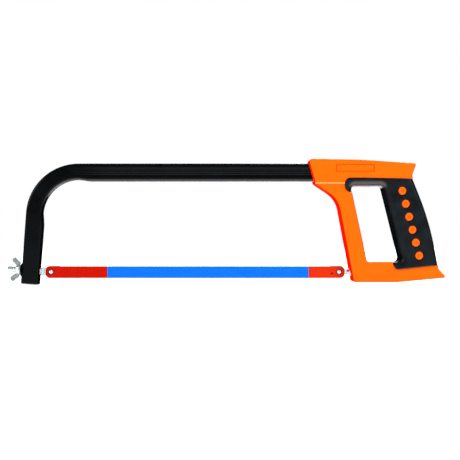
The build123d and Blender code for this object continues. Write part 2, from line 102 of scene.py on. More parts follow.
def rounded(corners, step=7.0, longest=2.0):
    """Closed outline through corners, each a point and its radius, as closely spaced points."""
    points = []
    for i, (corner, radius) in enumerate(corners):
        corner = np.array(corner, float)
        if not radius:
            points.append(corner)
            continue
        back = unit(np.array(corners[i - 1][0]) - corner)
        ahead = unit(np.array(corners[(i + 1) % len(corners)][0]) - corner)
        half = acos(np.clip(back @ ahead, -1, 1)) / 2
        middle = corner + unit(back + ahead) * radius / sin(half)
        start = corner + back * radius / tan(half) - middle
        sweep = pi - 2 * half
        turn = np.sign(back[1] * ahead[0] - back[0] * ahead[1])
        count = max(2, int(np.degrees(sweep) / step) + 1, int(sweep * radius / longest) + 1)
        for a in np.linspace(0, turn * sweep, count + 1):
            points.append(middle + [start[0] * cos(a) - start[1] * sin(a),
                                    start[0] * sin(a) + start[1] * cos(a)])
    return spaced(np.array(points), longest)


def spaced(loop, longest):
    """Closed loop with points added so that no step is longer than a length."""
    points = []
    for a, b in zip(loop, np.roll(loop, -1, axis=0)):
        count = max(1, int(np.ceil(np.linalg.norm(b - a) / longest)))
        points += [a + (b - a) * k / count for k in range(count)]
    return np.array(points)


def circle(centre, radius, count=48):
    """Closed circle in the side view."""
    angles = np.linspace(0, 2 * pi, count, endpoint=False)
    return np.array(centre) + radius * np.column_stack([np.cos(angles), np.sin(angles)])


def inset(loop, distance):
    """Closed loop moved inwards by a distance."""
    before, after = np.roll(loop, 1, axis=0), np.roll(loop, -1, axis=0)
    area = np.sum(loop[:, 0] * after[:, 1] - after[:, 0] * loop[:, 1])
    into = unit(loop - before)[:, ::-1] * [-1, 1]
    out = unit(after - loop)[:, ::-1] * [-1, 1]
    normal = unit(into + out)
    reach = distance / np.maximum(0.4, np.sum(normal * into, axis=1, keepdims=True))
    return loop + np.sign(area) * normal * reach


def contains(loop, points):
    """Which points lie inside a closed loop."""
    x, z = points.T
    inside = np.zeros(len(points), bool)
    for (x0, z0), (x1, z1) in zip(loop, np.roll(loop, -1, axis=0)):
        if z0 != z1:
            inside ^= ((z0 > z) != (z1 > z)) & (x < (x1 - x0) * (z - z0) / (z1 - z0) + x0)
    return inside


def distance(loop, points, closed=True):
    """Distance from each point to a loop's nearest segment."""
    nearest = np.full(len(points), 1e9)
    ends = np.roll(loop, -1, axis=0)
    for a, b in list(zip(loop, ends))[: None if closed else -1]:
        run = b - a
        share = np.clip((points - a) @ run / (run @ run), 0, 1)
        gap = points - a - share[:, None] * run
        nearest = np.minimum(nearest, np.einsum("ij,ij->i", gap, gap))
    return np.sqrt(nearest)


def quarter(depth, radius):
    """Height gained over a rounded edge, at a depth in from it."""
    return np.sqrt(np.maximum(0, radius**2 - (radius - np.clip(depth, 0, radius)) ** 2))


def ramp(value, start, end):
    """Smooth step from 0 at start to 1 at end."""
    share = np.clip((np.asarray(value, float) - start) / (end - start), 0, 1)
    return share * share * (3 - 2 * share)


def edge_rings(loop, radius, count=6):
    """Loops parallel to an edge, spaced for an even rounding of it."""
    angles = np.linspace(0, pi / 2, count + 1)[1:]
    return [inset(loop, radius * (1 - cos(a))) for a in angles]


# ---- Mesh makers --------------------------------------------------------------------------------

def mesh_object(name, points, faces, sharp=32):
    """Closed smooth-shaded object from points in millimetres."""
    mesh = bpy.data.meshes.new(name)
    mesh.from_pydata([tuple(p * MM) for p in np.asarray(points, float)], [], faces)
    mesh.validate()
    obj = bpy.data.objects.new(name, mesh)
    bpy.context.scene.collection.objects.link(obj)
    outward(obj)
    mesh.shade_smooth()
    mesh.set_sharp_from_angle(angle=radians(sharp))
    return obj


def outward(obj):
    """Turns the faces of a closed mesh so that their normals point out."""
    work = bmesh.new()
    work.from_mesh(obj.data)
    bmesh.ops.recalc_face_normals(work, faces=work.faces)
    work.to_mesh(obj.data)
    work.free()


def triangulated(loops, region, spacing, lines=()):
    """Points and triangles that cover a region of the side view, with edges along loops and lines."""
    points, edges = [], []
    for loop, closed in [(p, True) for p in loops] + [(p, False) for p in lines]:
        first, count = len(points), len(loop)
        points += list(loop)
        edges += [(first + i, first + (i + 1) % count) for i in range(count if closed else count - 1)]
    drawn = np.array(points)
    (x0, z0), (x1, z1) = drawn.min(axis=0), drawn.max(axis=0)
    rows = np.arange(z0, z1, spacing * 0.866)
    grid = np.array([(x + (i % 2) * spacing / 2, z) for i, z in enumerate(rows)
                     for x in np.arange(x0, x1, spacing)])
    clear = np.ones(len(grid), bool)
    for loop, closed in [(p, True) for p in loops] + [(p, False) for p in lines]:
        clear &= distance(loop, grid, closed) > spacing * 0.45
    grid = grid[clear]
    grid = grid[region(grid)]
    points += list(grid)
    found, _, faces, *_ = delaunay_2d_cdt([Vector(p) for p in points], edges, [], 0, 1e-5)
    found = np.array([tuple(p) for p in found])
    faces = np.array([f for f in faces if len(f) == 3])
    faces = faces[region(found[faces].mean(axis=1))]
    used, faces = np.unique(faces, return_inverse=True)
    return found[used], faces.reshape(-1, 3)


def rim_of(faces):
    """Directed edges used by one triangle only."""
    directed = {(f[i], f[(i + 1) % 3]) for f in faces.tolist() for i in range(3)}
    return [(a, b) for a, b in directed if (b, a) not in directed]


def moulded(name, loops, region, height, spacing, foot, sides=(-1,), lines=(), place=None):
    """Closed body over a region of the side view. With one side given, it stands between height(points)
    and foot(points) on that side; with both, it rises to height(points) on each."""
    flat, faces = triangulated(loops, region, spacing, lines)
    rise = height(flat)
    if len(sides) == 2:
        top, base = -rise, rise
    else:
        top, base = sides[0] * rise, sides[0] * foot(flat)
    x, z = flat.T
    points = np.vstack([np.column_stack([x, top, z]), np.column_stack([x, base, z])])
    count = len(flat)
    quads = [(a, b, b + count, a + count) for a, b in rim_of(faces)]
    solid = faces.tolist() + [(c + count, b + count, a + count) for a, b, c in faces.tolist()] + quads
    return mesh_object(name, points if place is None else place(points), solid)


def turned(name, profile, origin, axis, count=56, sharp=32):
    """Solid turned about an axis from a profile of (distance along it, radius) pairs."""
    axis = unit(axis)
    across = unit(np.cross(axis, axis_y if abs(axis[1]) < 0.9 else limb_up))
    third = np.cross(axis, across)
    points, rings = [], []
    for along, radius in profile:
        if radius == 0:
            rings.append([len(points)])
            points.append(origin + along * axis)
            continue
        rings.append(list(range(len(points), len(points) + count)))
        for a in np.linspace(0, 2 * pi, count, endpoint=False):
            points.append(origin + along * axis + radius * (cos(a) * across + sin(a) * third))
    faces = []
    for a, b in zip(rings, rings[1:]):
        for i in range(count):
            j = (i + 1) % count
            if len(a) == 1:
                faces.append((a[0], b[i], b[j]))
            elif len(b) == 1:
                faces.append((a[i], a[j], b[0]))
            else:
                faces.append((a[i], a[j], b[j], b[i]))
    if len(rings[0]) > 1 and len(rings[-1]) > 1:  # a ring or tube: its profile closes on itself
        a, b = rings[-1], rings[0]
        faces += [(a[i], a[(i + 1) % count], b[(i + 1) % count], b[i]) for i in range(count)]
    return mesh_object(name, points, faces, sharp)


def joined(name, *parts):
    """One object from several."""
    for part in parts:
        part.select_set(True)
    bpy.context.view_layer.objects.active = parts[0]
    with bpy.context.temp_override(active_object=parts[0], selected_editable_objects=list(parts)):
        bpy.ops.object.join()
    parts[0].name = name
    parts[0].data.name = name
    parts[0].select_set(False)
    return parts[0]


# ---- Materials ----------------------------------------------------------------------------------

class Look:
    """Node material built up from a Principled shader."""

    def __init__(self, name, **constants):
        self.material = bpy.data.materials.new(name)
        self.material.use_nodes = True
        self.tree = self.material.node_tree
        self.shader = self.tree.nodes["Principled BSDF"]
        for socket, value in constants.items():
            self.shader.inputs[socket.replace("_", " ")].default_value = value

    def node(self, kind, **settings):
        made = self.tree.nodes.new("ShaderNode" + kind)
        for key, value in settings.items():
            setattr(made, key, value)
        return made

    def link(self, source, target):
        self.tree.links.new(source, target)

    def coordinates(self, kind="Object"):
        return self.node("TexCoord").outputs[kind]

    def noise(self, scale, detail=4.0, stretch=None):
        coordinates = self.coordinates()
        if stretch:
            mapping = self.node("Mapping")
            mapping.inputs["Scale"].default_value = stretch
            self.link(coordinates, mapping.inputs["Vector"])
            coordinates = mapping.outputs["Vector"]
        made = self.node("TexNoise")
        made.inputs["Scale"].default_value = scale
        made.inputs["Detail"].default_value = detail
        self.link(coordinates, made.inputs["Vector"])
        return made.outputs["Fac"]

    def ranged(self, value, low_in, high_in, low_out, high_out):
        made = self.node("MapRange")
        for socket, number in zip(("From Min", "From Max", "To Min", "To Max"),
                                  (low_in, high_in, low_out, high_out)):
            made.inputs[socket].default_value = number
        self.link(value, made.inputs["Value"])
        return made.outputs["Result"]

    def mixed(self, share, first, second):
        """Colour mix: first and second are sockets or plain colours."""
        made = self.node("Mix", data_type="RGBA")
        self.link(share, made.inputs["Factor"])
        for socket, colour in zip((made.inputs[6], made.inputs[7]), (first, second)):
            if isinstance(colour, tuple):
                socket.default_value = (*colour, 1)
            else:
                self.link(colour, socket)
        return made.outputs[2]

    def maths(self, operation, first, second=None):
        made = self.node("Math", operation=operation)
        for socket, value in zip(made.inputs, (first, second)):
            if value is None:
                continue
            if isinstance(value, (int, float)):
                socket.default_value = value
            else:
                self.link(value, socket)
        return made.outputs[0]

    def bumped(self, *layers):
        """Bump from (height socket, distance in millimetres) layers."""
        normal = None
        for height, reach in layers:
            made = self.node("Bump")
            made.inputs["Distance"].default_value = reach * MM
            made.inputs["Strength"].default_value = 1.0
            self.link(height, made.inputs["Height"])
            if normal is not None:
                self.link(normal, made.inputs["Normal"])
            normal = made.outputs["Normal"]
        self.link(normal, self.shader.inputs["Normal"])

    def sheen(self, level, below):
        """Gloss of a black piece: a level on its faces, another on its undersides, none on its walls."""
        facing = self.node("SeparateXYZ")
        self.link(self.coordinates("Normal"), facing.inputs[0])
        flat = self.ranged(self.maths("ABSOLUTE", facing.outputs["X"]), 0.5, 0.85, 1.0, 0.0)
        under = self.ranged(facing.outputs["Z"], -0.15, -0.5, level, below)
        self.link(self.maths("MULTIPLY", flat, under), self.shader.inputs["Specular IOR Level"])

    def colour(self, socket):
        self.link(socket, self.shader.inputs["Base Color"])

    def roughness(self, socket):
        self.link(socket, self.shader.inputs["Roughness"])


def orange_look():
    """Orange plastic with painted light: deep red painted on its side walls and a darker line painted
    round the sunk panel's edge, both standing in for shade, and a pale band painted along the step,
    standing in for a highlight.
    """
    look = Look("orange_plastic", IOR=1.48)
    place, facing = look.node("SeparateXYZ"), look.node("SeparateXYZ")
    look.link(look.coordinates(), place.inputs[0])
    look.link(look.coordinates("Normal"), facing.inputs[0])
    # Painted shade: faces that turn along X, the side walls, get a deep red that stands in for the orange
    # in shade, and no gloss.
    painted_shade_wall = look.ranged(look.maths("ABSOLUTE", facing.outputs["X"]), 0.25, 0.62, 0.0, 1.0)
    mottle = look.noise(60, 3)
    face = look.mixed(look.ranged(mottle, 0.3, 0.7, 0.0, 1.0), (0.94, 0.088, 0.0), (0.94, 0.096, 0.0))
    centre, half = (panel_low + panel_high) / 2 * MM, (panel_high - panel_low) / 2 * MM
    past = []
    for axis, c, h in zip("XZ", centre, half):
        away = look.maths("ABSOLUTE", look.maths("SUBTRACT", place.outputs[axis], float(c)))
        past.append(look.maths("SUBTRACT", away, float(h)))
    beyond = look.maths("MAXIMUM", *past)
    # Painted shade: a darker orange line all round the sunk panel's edge stands in for the shade on the
    # recess walls.
    edge = look.ranged(look.maths("ABSOLUTE", beyond), 0.0003, 0.0006, 0.75, 0.0)
    down = look.ranged(facing.outputs["Z"], -0.25, -0.6, 0.0, 1.0)
    step_middle = (socket_line + STEP_WIDTH / 2) * MM
    height = look.maths("ABSOLUTE", look.maths("SUBTRACT", place.outputs["Z"], step_middle))
    # Painted highlight: a pale band on the downward faces along the socket step stands in for the floor's
    # reflection there.
    step_highlight_band = look.ranged(height, STEP_WIDTH / 2 * MM, STEP_WIDTH * 0.7 * MM, 0.85, 0.0)
    painted_step_highlight = look.maths("MULTIPLY", step_highlight_band, look.ranged(facing.outputs["Z"], -0.12, -0.3, 0.0, 1.0))
    paint = look.mixed(edge, face, (0.94, 0.035, 0.0))
    paint = look.mixed(painted_step_highlight, paint, (0.95, 0.34, 0.11))
    look.colour(look.mixed(painted_shade_wall, paint, (0.95, 0.004, 0.001)))
    gloss = look.maths("MULTIPLY", look.ranged(painted_shade_wall, 0.0, 0.5, 1.0, 0.0),
                       look.ranged(down, 0.0, 1.0, 0.05, 0.3))
    look.link(gloss, look.shader.inputs["Specular IOR Level"])
    grain = look.noise(2600, 2)
    flow = look.noise(300, 3, (1, 1, 3))
    look.roughness(look.ranged(flow, 0.3, 0.7, 0.34, 0.46))
    look.bumped((grain, 0.010), (flow, 0.02))
    return look.material


def rubber_look():
    look = Look("black_rubber", IOR=1.5)
    look.sheen(0.1, 0.8)
    mottle = look.noise(90, 4)
    look.colour(look.mixed(look.ranged(mottle, 0.35, 0.7, 0.0, 1.0), (0.0010, 0.0020, 0.0024),
                           (0.0030, 0.0060, 0.0085)))
    grain = look.noise(1500, 3)
    look.roughness(look.ranged(mottle, 0.3, 0.7, 0.30, 0.38))
    look.bumped((grain, 0.03), (look.noise(400, 2), 0.03))
    return look.material


def paint_look():
    look = Look("black_paint", IOR=1.5)
    look.sheen(0.06, 0.5)
    mottle = look.noise(70, 4)
    look.colour(look.mixed(look.ranged(mottle, 0.35, 0.7, 0.0, 1.0), (0.0004, 0.0006, 0.0007),
                           (0.0010, 0.0017, 0.0022)))
    peel = look.noise(550, 3)
    look.roughness(look.ranged(mottle, 0.3, 0.7, 0.17, 0.23))
    look.bumped((peel, 0.02))
    return look.material


def metal_look(name, base, dark, rough, grain_scale=700):
    look = Look(name, Metallic=1.0)
    mottle = look.noise(260, 4)
    look.colour(look.mixed(look.ranged(mottle, 0.3, 0.7, 0.0, 1.0), dark, base))
    grain = look.noise(grain_scale, 4)
    look.roughness(look.ranged(grain, 0.3, 0.7, rough - 0.06, rough + 0.08))
    look.bumped((grain, 0.012))
    return look.material


def plastic_look():
    look = Look("black_plastic", Specular_IOR_Level=0.3)
    grain = look.noise(900, 3)
    look.colour(look.mixed(grain, (0.002, 0.002, 0.0025), (0.005, 0.005, 0.006)))
    look.roughness(look.ranged(grain, 0.3, 0.7, 0.4, 0.55))
    look.bumped((grain, 0.02))
    return look.material


def blade_look():
    """Blue paint with red ends and bare along the teeth, with painted shade: dark round the holes and in
    the dimple.
    """
    look = Look("blade_red_blue", Specular_IOR_Level=0.035, IOR=1.45)
    separate = look.node("SeparateXYZ")
    look.link(look.coordinates(), separate.inputs[0])
    ragged = look.ranged(look.noise(900, 2), 0, 1, -0.00025, 0.00025)
    along = look.maths("ADD", separate.outputs["X"], ragged)
    front_end = (front_x + BLADE_PIN_OFFSET + RED_FRONT) * MM
    rear_start = (rear_x - BLADE_PIN_OFFSET - RED_REAR) * MM
    middle = look.maths("MULTIPLY", look.ranged(along, front_end, front_end + 0.0002, 0, 1),
                        look.ranged(along, rear_start, rear_start + 0.0002, 1, 0))
    front = look.ranged(separate.outputs["X"], 0, 0.001, 1, 0)
    red = look.mixed(front, (0.455, 0.019, 0.002), (0.36, 0.004, 0.0))
    streaks = look.noise(40, 4, (1, 1, 9))
    blue = look.mixed(look.ranged(streaks, 0.35, 0.7, 0, 1), (0.002, 0.098, 0.56), (0.003, 0.112, 0.60))
    paint = look.mixed(middle, red, blue)
    top = (blade_z + BLADE_WIDTH / 2) * MM
    uneven = look.ranged(look.noise(700, 4), 0.3, 0.7, -0.0003, 0.0003)
    worn = look.maths("ADD", separate.outputs["Z"], uneven)
    bare = look.ranged(worn, top - 0.0006, top - 0.0003, 0, 0.8)
    # Painted shade: near-black rings round the pin holes stand in for the shadowed gap round each pin, and
    # a near-black spot stands in for the shade in the dimple.
    painted_shade_spots = [(front_x + BLADE_PIN_OFFSET, blade_z, 0.0027), (rear_x - BLADE_PIN_OFFSET, blade_z, 0.0027),
             (*dimple, 0.0007)]
    for centre_x, centre_z, edge in painted_shade_spots:
        across = look.maths("SUBTRACT", separate.outputs["X"], float(centre_x * MM))
        up = look.maths("SUBTRACT", separate.outputs["Z"], float(centre_z * MM))
        reach = look.maths("SQRT", look.maths("ADD", look.maths("MULTIPLY", across, across),
                                              look.maths("MULTIPLY", up, up)))
        paint = look.mixed(look.ranged(reach, edge, edge + 0.0004, 1.0, 0.0), paint, (0.01, 0.002, 0.004))
    look.colour(look.mixed(bare, paint, (0.10, 0.10, 0.11)))
    look.link(look.ranged(bare, 0, 1, 0, 0.7), look.shader.inputs["Metallic"])
    look.roughness(look.ranged(streaks, 0.3, 0.7, 0.30, 0.42))
    look.bumped((look.noise(800, 3), 0.008))
    return look.material


BLADE_PIN_OFFSET = 0.5
BLADE_WIDTH = 12.7
RED_FRONT = 58.5  # from the blade's front hole to the end of its red paint
RED_REAR = 31.9  # the same at its rear hole
dimple = np.array(low(-8.0, -1.5))


def finished(obj, slot, body="frame", replaces=()):
    """Gives a piece its finish, its body and the CAD nodes that it stands for."""
    obj.data.materials.clear()
    obj.data.materials.append(looks[slot])
    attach(obj, body)
    if replaces:
        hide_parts(*replaces)
    return obj


# ---- Handle -------------------------------------------------------------------------------------

HALF = 13.0
SOCKET_STEP = 0.9
STEP_WIDTH = 1.7
EDGE = 1.5
SEAM = 0.06
SOCKET_ROOF = TUBE_HEIGHT / 2 + 4.3
SOCKET_FLOOR = TUBE_HEIGHT / 2 + 2.7
THROAT = tube_z - blade_z
WINDOW_LOWER = 10.6
WINDOW_TOP = THROAT - TUBE_HEIGHT / 2 - 5.35
WINDOW_RISE = WINDOW_TOP - WINDOW_LOWER
GRIP_UPPER = TUBE_HEIGHT / 2 - 3.3
COLUMN_FOOT = 12.8
HANDLE_FOOT = 10.1
REAR_FOOT = 62.6
FRONT_FOOT = 27.0
GUSSET_DROP = 27.8
COLUMN_SLOPE = tan(radians(10.7))
FRONT_SLOPE = tan(radians(12.2))
COLUMN_SCREW = 48.0
window_front_top = FRONT_FOOT - FRONT_SLOPE * WINDOW_RISE
window_rear_top = REAR_FOOT - tan(radians(14.0)) * WINDOW_RISE
gusset_x = COLUMN_FOOT - COLUMN_SLOPE * (THROAT - GUSSET_DROP + HANDLE_FOOT)

palm_foot = np.array(low(REAR_FOOT + 38.0, 3.6))
palm_head = np.array(high(window_rear_top + 29.7, -4.0))
palm_apex = (palm_foot + palm_head) / 2 + [4.7, 1.2]
palm_below = palm_foot + unit(palm_foot - palm_apex) * 24.0
palm_above = palm_head + unit(palm_head - palm_apex) * 28.0
blank_front = rear_x + window_front_top - 22.0

window_loop = rounded([
    (low(FRONT_FOOT, WINDOW_LOWER), 4.0),
    (low(REAR_FOOT, WINDOW_LOWER), 4.5),
    (low(window_rear_top, WINDOW_TOP), 3.5),
    (low(window_front_top, WINDOW_TOP), 3.5),
])
handle_loop = rounded([
    (high(-33.9, SOCKET_ROOF), 3.5),
    (high(-26.8, -SOCKET_FLOOR), 3.0),
    (high(gusset_x, -GUSSET_DROP), 27.0),
    (low(COLUMN_FOOT, -HANDLE_FOOT), 3.0),
    (low(58.0, -HANDLE_FOOT), 60.0),
    (low(109.2, -5.4), 1.7),
    (palm_foot, 3.5),
    (palm_apex, 290.0),
    (palm_head, 7.0),
    (high(window_rear_top + 34.4, 8.8), 1.7),
    (high(20.0, SOCKET_ROOF - 0.8), 300.0),
])
blank_loop = rounded([
    ((blank_front, palm_above[1]), 0),
    ((blank_front, palm_below[1]), 0),
    (palm_below, 0),
    (palm_apex, 290.0),
    (palm_above, 0),
])
grip_loop = rounded([
    (high(window_front_top - 6.2, -GRIP_UPPER), 5.2),
    (high(window_front_top - 5.6, -18.4), 4.5),
    (high(window_front_top + 6.0, -23.5), 0),
    (low(REAR_FOOT - 12.1, WINDOW_LOWER + 3.4), 0),
    (low(REAR_FOOT - 5.8, 2.9), 3.0),
    (low(REAR_FOOT + 62.0, 10.2), 0),
    (high(window_rear_top + 60.0, -GRIP_UPPER - 1.7), 0),
    (high(29.0, -GRIP_UPPER), 100.0),
])

DOTS = 6
DOT_RADIUS = 3.95
dot_top = np.array(high(window_rear_top + 19.5, -19.5))
dot_foot = np.array(low(REAR_FOOT + 17.3, 17.4))
dot_points = [dot_top + (dot_foot - dot_top) * i / (DOTS - 1) for i in range(DOTS)]

socket_line = tube_z - SOCKET_FLOOR
panel_low = np.array(high(-4.8, 4.0 - 3.55))
panel_high = np.array(high(-4.8 + 38.7, 4.0 + 3.55))
column_front = COLUMN_FOOT - COLUMN_SLOPE * (COLUMN_SCREW + HANDLE_FOOT)
column_rear = FRONT_FOOT - FRONT_SLOPE * (COLUMN_SCREW - WINDOW_LOWER)
screw_points = [
    high(-18.0, 0),
    (tube_end_x - 16.0, tube_z),
    (tube_end_x + 11.0, tube_z + 0.5),
    low((column_front + column_rear) / 2, COLUMN_SCREW),
    low(52.0, 0.2),
    low(88.0, -0.6),
]
SCREW_SEAT = HALF - 3.6
SCREW_WALL = (3.5, 3.6)  # radii between which a screw hole drops to its seat

looks = {
    "orange_plastic": orange_look(),
    "black_rubber": rubber_look(),
    "black_paint": paint_look(),
    "black_plastic": plastic_look(),
    "zinc": metal_look("zinc", (0.64, 0.69, 0.67), (0.46, 0.51, 0.50), 0.26),
    "steel_pin": metal_look("steel_pin", (0.80, 0.80, 0.80), (0.60, 0.60, 0.61), 0.24),
    "black_screw": metal_look("black_screw", (0.05, 0.05, 0.055), (0.02, 0.02, 0.022), 0.35),
    "blade_red_blue": blade_look(),
}

# CAD nodes that stay in view keep their shape and take a finish of the same name as their slot.
slot_of = {s["node"]: s["material_slot"] for s in frame["record"]["subparts"]}
for node, obj in frame["nodes"].items():
    obj.data.materials.clear()
    obj.data.materials.append(looks[slot_of[node]])


def rectangle(low_corner, high_corner, margin):
    """Closed rectangle in the side view, grown by a margin."""
    (x0, z0), (x1, z1) = low_corner - margin, high_corner + margin
    return spaced(np.array([(x0, z0), (x1, z0), (x1, z1), (x0, z1)]), 2.0)


def hard_region(points):
    return contains(handle_loop, points) & ~contains(window_loop, points) & ~contains(grip_loop, points)


def hard_height(points, screwed):
    """Height of the bare plastic above the parting plane."""
    edge = np.minimum(distance(handle_loop, points), distance(window_loop, points))
    step = SOCKET_STEP * quarter(points[:, 1] - socket_line, STEP_WIDTH) / STEP_WIDTH
    height = HALF + step - EDGE + quarter(edge, EDGE)
    # Narrow groove where the bare plastic meets the grip
    height -= 0.35 * (1 - ramp(distance(grip_loop, points), 0.0, 0.4))
    # Sunk blank panel
    inside = np.minimum(points - panel_low, panel_high - points).min(axis=1)
    height -= 0.5 * ramp(inside, -0.12, 0.12)
    if screwed:
        for centre in screw_points:
            reach = np.linalg.norm(points - centre, axis=1)
            height = np.where(reach < sum(SCREW_WALL) / 2, SCREW_SEAT, height)
    return height


def parting(points):
    """Foot of a half of the handle, just off the middle plane."""
    return np.full(len(points), SEAM)


line_x = np.arange(rear_x - 40.0, rear_x + 80.0, 1.5)
socket_lines = [np.column_stack([line_x, np.full(len(line_x), socket_line + t)])
                for t in STEP_WIDTH * np.array((0.0, 0.04, 0.13, 0.3, 0.5, 0.75, 1.0))]

for side, label in ((-1, "near"), (1, "far")):
    far = side > 0
    loops = [handle_loop, window_loop, grip_loop, inset(grip_loop, -0.2), inset(grip_loop, -0.4)]
    loops += edge_rings(handle_loop, EDGE) + [inset(window_loop, -EDGE * (1 - cos(a)))
                                              for a in np.linspace(0, pi / 2, 7)[1:]]
    loops += [rectangle(panel_low, panel_high, m) for m in (0.12, 0.0, -0.12)]
    if far:
        loops += [circle(c, r) for c in screw_points for r in SCREW_WALL]
    body = moulded(f"handle_{label}", loops, hard_region, lambda p: hard_height(p, far), 3.0,
                   parting, (side,), socket_lines)
    dots = []
    for i, centre in enumerate(dot_points):
        profile = [(0.0, 0.0), (0.0, DOT_RADIUS), (14.5, DOT_RADIUS), (14.85, DOT_RADIUS - 0.1),
                   (15.05, DOT_RADIUS - 0.3), (15.1, DOT_RADIUS - 0.6), (15.1, 1.5), (14.85, 1.3),
                   (14.85, 0.95), (15.1, 0.75), (15.1, 0.0)]
        origin = np.array([centre[0], 0, centre[1]])
        dots.append(turned(f"dot_{label}_{i}", profile, origin, side * axis_y, 48))
    finished(joined(f"handle_{label}", body, *dots), "orange_plastic", "frame", (f"handle_shell_{label}",))


# ---- Grip ---------------------------------------------------------------------------------------

GRIP_HALF = 15.0
PALM_ROUND = 6.0
WINDOW_ROUND = 7.0
BORDER_ROUND = 0.9
DOT_GAP = 0.12
DOT_ROUND = 0.35
dot_holes = [circle(c, DOT_RADIUS + DOT_GAP) for c in dot_points]


def grip_region(points):
    keep = contains(grip_loop, points) & contains(blank_loop, points) & ~contains(window_loop, points)
    for hole in dot_holes:
        keep &= ~contains(hole, points)
    return keep


def grip_height(points):
    """Height of the soft grip, round towards the palm and more so towards the window."""
    palm = GRIP_HALF - PALM_ROUND + quarter(distance(blank_loop, points), PALM_ROUND)
    window = GRIP_HALF - WINDOW_ROUND + quarter(distance(window_loop, points), WINDOW_ROUND)
    border = GRIP_HALF - BORDER_ROUND + quarter(distance(grip_loop, points), BORDER_ROUND)
    height = np.minimum(np.minimum(palm, window), border)
    for centre in dot_points:
        reach = np.linalg.norm(points - centre, axis=1) - DOT_RADIUS - DOT_GAP
        height = np.minimum(height, GRIP_HALF - DOT_ROUND + quarter(reach, DOT_ROUND))
    return height


grip_loops = [blank_loop, window_loop, grip_loop, *dot_holes]
grip_loops += edge_rings(blank_loop, PALM_ROUND, 8) + edge_rings(grip_loop, BORDER_ROUND, 3)
grip_loops += [inset(window_loop, -WINDOW_ROUND * (1 - cos(a))) for a in np.linspace(0, pi / 2, 10)[1:]]
grip_loops += [circle(c, DOT_RADIUS + DOT_GAP + r) for c in dot_points for r in (0.1, DOT_ROUND)]
for side, label in ((-1, "near"), (1, "far")):
    grip = moulded(f"grip_soft_{label}", grip_loops, grip_region, grip_height, 1.6, parting, (side,))
    finished(grip, "black_rubber", "frame", (f"grip_{label}",))


# ---- Bow ----------------------------------------------------------------------------------------

BEND = 45.5
LIMB_REACH = 19.9
LIMB_DROP = 12.8
GROOVES = (3.9, 2.1, -0.3, -2.4)


def bow_path():
    """Centre-line points, tangents and how far each is into the bend, from limb foot to handle."""
    foot = stud_origin + LIMB_REACH * stud_out - LIMB_DROP * limb_up
    rise = (tube_z - (stud_origin + LIMB_REACH * stud_out)[2]) / cos(TILT)
    corner = stud_origin + LIMB_REACH * stud_out + rise * limb_up
    end = np.array([tube_end_x, 0, tube_z])
    up, ahead = limb_up, unit(end - corner)
    turn = acos(up @ ahead)
    reach = BEND * tan(turn / 2)
    bend_start, bend_end = corner - up * reach, corner + ahead * reach
    inward = unit(ahead - (ahead @ up) * up)
    middle = bend_start + inward * BEND
    points, tangents, places = [], [], []
    for s in np.linspace(0, np.linalg.norm(bend_start - foot), 14)[:-1]:
        points.append(foot + up * s)
        tangents.append(up)
        places.append(s - np.linalg.norm(bend_start - foot))
    for a in np.linspace(0, turn, 49):
        points.append(middle + BEND * (-inward * cos(a) + up * sin(a)))
        tangents.append(up * cos(a) + inward * sin(a))
        places.append(a * BEND)
    arc = turn * BEND
    run = np.linalg.norm(end - bend_end)
    for s in np.concatenate([np.linspace(0, 24, 13)[1:], np.linspace(24, run, 40)[1:]]):
        points.append(bend_end + ahead * s)
        tangents.append(ahead)
        places.append(arc + s)
    return np.array(points), np.array(tangents), np.array(places), arc


def tube_profile():
    """Section points (outwards from the bow, across it) with the groove each lies in."""
    half_u, half_w, r = TUBE_HEIGHT / 2, TUBE_THICKNESS / 2, TUBE_CORNER
    section = []
    for cu, cw, a0 in ((half_u - r, half_w - r, 0), (-half_u + r, half_w - r, pi / 2),
                       (-half_u + r, -half_w + r, pi), (half_u - r, -half_w + r, 3 * pi / 2)):
        for a in np.linspace(a0, a0 + pi / 2, 7):
            section.append((cu + r * cos(a), cw + r * sin(a), 0.0))
        if a0 in (0, pi):
            sign = 1 if a0 == 0 else -1
            stops = []
            for g in GROOVES:
                stops += [(g + 0.45, 0), (g + 0.2, 0.7), (g, 1.0), (g - 0.2, 0.7), (g - 0.45, 0)]
            stops.sort(key=lambda stop: -sign * stop[0])
            section += [(u, sign * half_w, depth) for u, depth in stops]
        else:
            sign = -1 if a0 == pi / 2 else 1
            section += [(sign * half_u, sign * -w, 0.0) for w in (-2.0, -1.0, 0.0, 1.0, 2.0)]
    return np.array(section)


def bow_tube():
    """Painted tube: its inner wall is drawn in round the bend and its side grooves run out there."""
    points, tangents, places, arc = bow_path()
    section = tube_profile()
    rings = []
    for point, tangent, place in zip(points, tangents, places):
        out = np.cross(tangent, axis_y)
        out = out if out @ (point - np.array([front_x + 90, 0, blade_z + 40])) > 0 else -out
        drawn = ramp(place, -11.0, 2.0) * (1 - ramp(place, arc - 2.0, arc + 11.0))
        groove = ramp(place, arc - 20.0, arc + 30.0)
        u, w, depth = section.T
        inner = np.clip(-u / (TUBE_HEIGHT / 2), 0, 1)
        sag = 1.6 * inner**2 + 1.3 * (inner > 0.98) * (1 - (w / (TUBE_THICKNESS / 2)) ** 2)
        u = u + drawn * sag
        w = w * (1 + 0.03 * drawn) - np.sign(w) * depth * 0.16 * groove
        rings.append(point + u[:, None] * out + w[:, None] * axis_y)
    count = len(section)
    faces = [tuple(range(count)), tuple(range((len(rings) - 1) * count, len(rings) * count))]
    for k in range(len(rings) - 1):
        for i in range(count):
            j = (i + 1) % count
            faces.append((k * count + i, k * count + j, (k + 1) * count + j, (k + 1) * count + i))
    return mesh_object("bow_tube", np.vstack(rings), faces, 28)


finished(bow_tube(), "black_paint", "frame", ("frame_tube",))


# ---- Blade --------------------------------------------------------------------------------------

